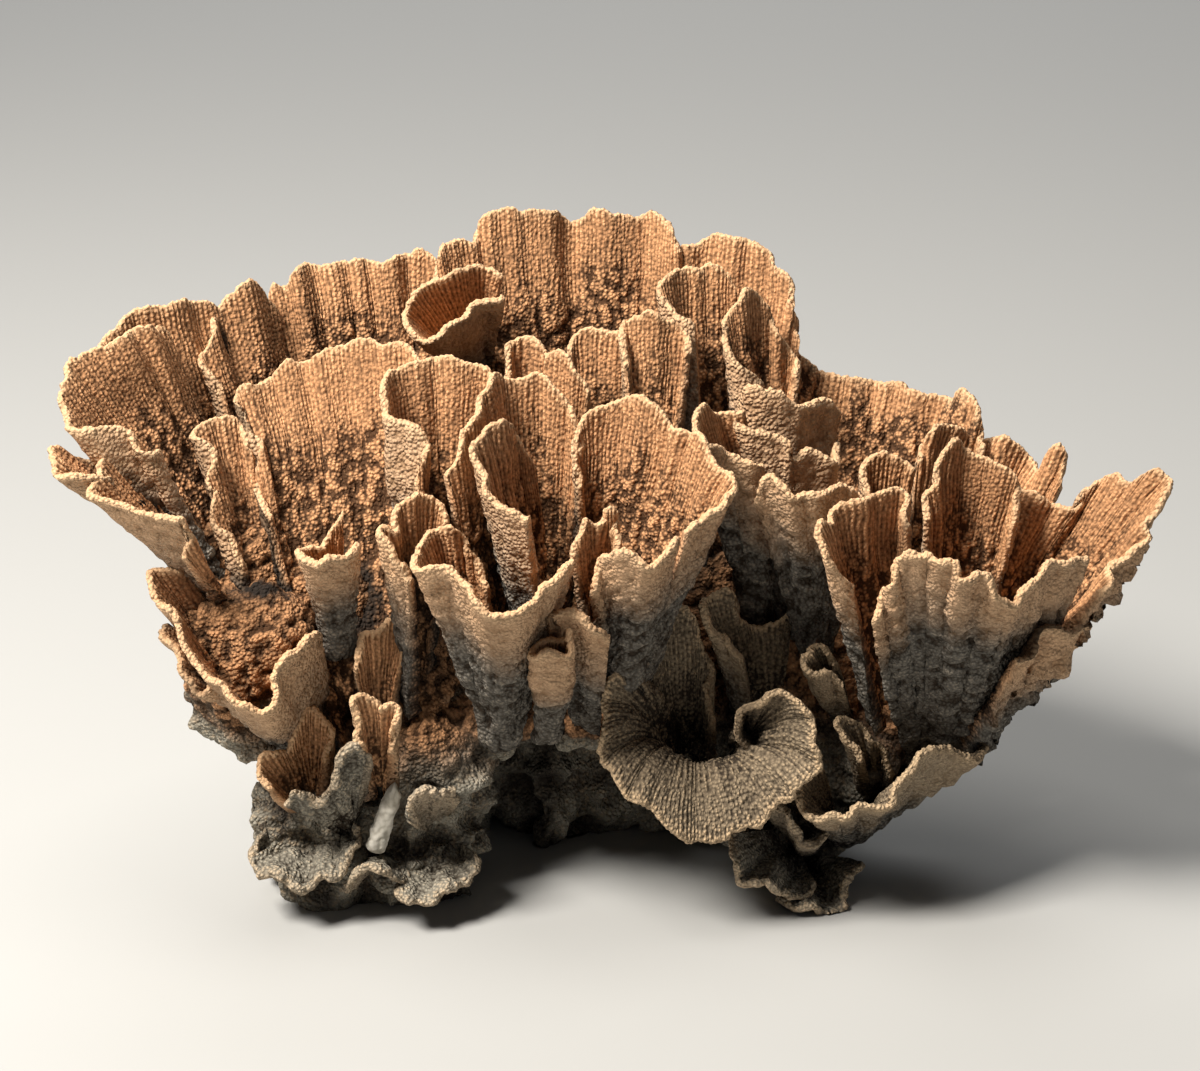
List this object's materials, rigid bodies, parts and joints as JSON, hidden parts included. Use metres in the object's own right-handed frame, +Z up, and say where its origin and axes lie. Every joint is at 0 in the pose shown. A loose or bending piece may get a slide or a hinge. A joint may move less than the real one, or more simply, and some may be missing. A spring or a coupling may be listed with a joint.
{
  "type": "plating coral",
  "caption": "Foliose plating coral skeleton: thin ridged fans, cups and lips that curl out of one encrusted holdfast, cut flat underneath to stand.",
  "frame": {"origin": "a point on the flat cut under the rear trunk of the holdfast", "axes": "+X to the viewer's right along the colony's width, +Y away from the viewer, +Z up out of the cut"},
  "size_m": [0.3284, 0.1504, 0.187],
  "materials": {
    "plate_stone": "matt, ridged and granular",
    "holdfast_stone": "matt, eroded and pitted",
    "bleached_stone": "matt, bleached"
  },
  "bodies": {
    "root": {"holdfast": "holdfast_stone", "front_cup": "plate_stone", "left_low_bowl": "plate_stone", "front_left_fan": "plate_stone", "round_fan": "plate_stone", "front_fold_fan": "plate_stone", "front_centre_fan": "plate_stone", "front_right_fan": "plate_stone", "front_lip": "plate_stone", "front_tongue": "plate_stone", "front_small_lip": "plate_stone", "front_tube": "plate_stone", "left_small_cup": "plate_stone", "left_edge_fan": "plate_stone", "left_under_lip": "plate_stone", "left_lip": "plate_stone", "left_narrow_fan": "plate_stone", "left_far_lip": "plate_stone", "left_front_fan": "plate_stone", "left_back_fan": "plate_stone", "left_high_fan": "plate_stone", "low_flower": "plate_stone", "low_petal": "plate_stone", "low_right_cup": "plate_stone", "low_inner_blade": "plate_stone", "low_shelf_fan": "plate_stone", "low_back_fan": "plate_stone", "low_foot_ledge": "plate_stone", "low_foot_plate": "plate_stone", "low_foot_shelf": "plate_stone", "right_vase_front": "plate_stone", "right_wing": "plate_stone", "right_folded_fan": "plate_stone", "right_inner_fan": "plate_stone", "right_ledge": "plate_stone", "right_tier_front": "plate_stone", "right_tier_fan": "plate_stone", "right_tier_middle": "plate_stone", "right_tier_top": "plate_stone", "right_round_fan": "plate_stone", "right_rear_fan": "plate_stone", "middle_narrow_fan": "plate_stone", "middle_fan": "plate_stone", "middle_small_fan": "plate_stone", "curled_cup": "plate_stone", "middle_right_fan": "plate_stone", "right_shoulder_fan": "plate_stone", "back_left_fan": "plate_stone", "back_centre_fan": "plate_stone", "back_right_fan": "plate_stone", "right_back_wall": "plate_stone", "foot_left_ledge": "plate_stone", "foot_middle_ledge": "plate_stone", "foot_right_dish": "plate_stone", "foot_upper_ledge": "plate_stone", "foot_pale_fan": "plate_stone", "foot_knob_fan": "plate_stone", "foot_front_fan": "plate_stone", "foot_brown_fan": "plate_stone", "broken_finger": "bleached_stone"}
  },
  "joints": []
}
